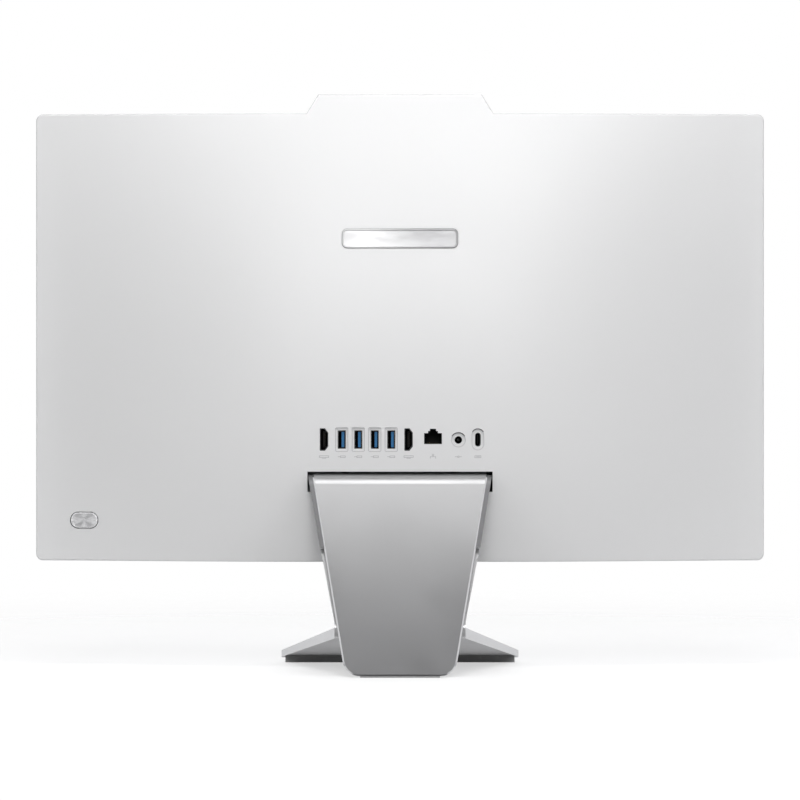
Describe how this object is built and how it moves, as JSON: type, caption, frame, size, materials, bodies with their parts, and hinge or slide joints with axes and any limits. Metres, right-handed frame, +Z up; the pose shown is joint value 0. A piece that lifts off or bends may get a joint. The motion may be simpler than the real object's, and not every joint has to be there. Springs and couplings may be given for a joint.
{
  "type": "all in one computer",
  "caption": "Desktop computer built into the back of a thin screen, with a row of sockets behind, on a folded metal stand whose hinge lets the screen tilt.",
  "frame": {"origin": "on the floor, midway across the stand and midway between the front and rear feet's edges", "axes": "+X is the viewer's right as they face the screen, +Y points away from the viewer to the rear, +Z is up"},
  "size_m": [0.54, 0.1809, 0.4242],
  "materials": {
    "white_plastic": "fine matte texture",
    "black_plastic": "satin black",
    "black_gloss": "gloss black",
    "polished_badge": "polished",
    "steel_zinc": "zinc plated",
    "screen_glass": "anti-glare",
    "optical_film": "translucent sheet",
    "circuit_board": "solder mask",
    "copper": "bare copper",
    "raw_aluminium": "bare",
    "socket_shell": "nickel plated",
    "dark_shell": "dark nickel",
    "blue_plastic": "satin",
    "spun_metal": "spun, with a polished bevel",
    "silver_metal": "satin, with a polished bevel",
    "silver_plastic": "silver paint",
    "foot_rubber": "matte"
  },
  "bodies": {
    "stand": {"stand_rear_plate": "silver_metal", "stand_front_foot": "silver_metal", "neck_inner_cover": "silver_plastic", "hinge_arms": "steel_zinc", "hinge_pins": "steel_zinc", "hinge_washers": "steel_zinc", "hinge_nuts": "steel_zinc", "stand_screws": "steel_zinc", "front_foot_pad": "foot_rubber", "rear_foot_pad": "foot_rubber"},
    "head": {"rear_cover": "white_plastic", "front_bezel": "black_plastic", "chin_cover": "white_plastic", "badge_plate": "polished_badge", "cover_screws": "steel_zinc", "lcd_panel": "screen_glass", "diffuser_sheet": "optical_film", "light_guide": "optical_film", "backlight_strip": "circuit_board", "panel_tray": "steel_zinc", "webcam_window": "black_gloss", "webcam_board": "circuit_board", "webcam_lens": "black_gloss", "webcam_cable": "black_plastic", "chassis_frame": "steel_zinc", "mainboard": "circuit_board", "board_screws": "steel_zinc", "processor": "steel_zinc", "memory_modules": "circuit_board", "memory_sockets": "black_plastic", "solid_state_drive": "circuit_board", "wireless_card": "circuit_board", "card_sockets": "black_plastic", "coin_cell": "steel_zinc", "display_cable": "black_plastic", "cooler_plate": "copper", "heat_pipe": "copper", "fin_stack": "raw_aluminium", "fan_housing": "black_plastic", "usb_sockets": "socket_shell", "usb_tongues": "blue_plastic", "hdmi_socket_out": "dark_shell", "hdmi_socket_in": "dark_shell", "hdmi_tongues": "black_plastic", "usb_c_socket": "dark_shell", "usb_c_tongue": "black_plastic", "ethernet_socket": "black_plastic", "power_jack": "black_plastic", "power_jack_pin": "steel_zinc", "port_shield": "steel_zinc", "power_switch_board": "circuit_board", "speaker_right": "black_plastic", "speaker_left": "black_plastic", "speaker_drivers": "black_plastic", "hinge_bracket": "steel_zinc", "bracket_nuts": "steel_zinc"},
    "power_button": {"power_button": "spun_metal"},
    "webcam_shutter": {"webcam_shutter": "white_plastic"},
    "fan_impeller": {"fan_impeller": "black_plastic"}
  },
  "joints": [
    {"name": "head_tilt", "type": "hinge", "parent": "stand", "child": "head", "pos_m": [0, 0.004, 0.13], "axis": [-1, 0, 0], "range_deg": [-5, 20]},
    {"name": "power_button_press", "type": "slide", "parent": "head", "child": "power_button", "axis": [0, -1, 0], "range_m": [0, 0.0008], "stiffness_N_per_m": 900},
    {"name": "webcam_shutter_slide", "type": "slide", "parent": "head", "child": "webcam_shutter", "axis": [-1, 0, 0], "range_m": [0, 0.009]},
    {"name": "fan_spin", "type": "hinge", "parent": "head", "child": "fan_impeller", "pos_m": [0.035, -0.0185, 0.299], "axis": [0, 1, 0], "continuous": true}
  ]
}
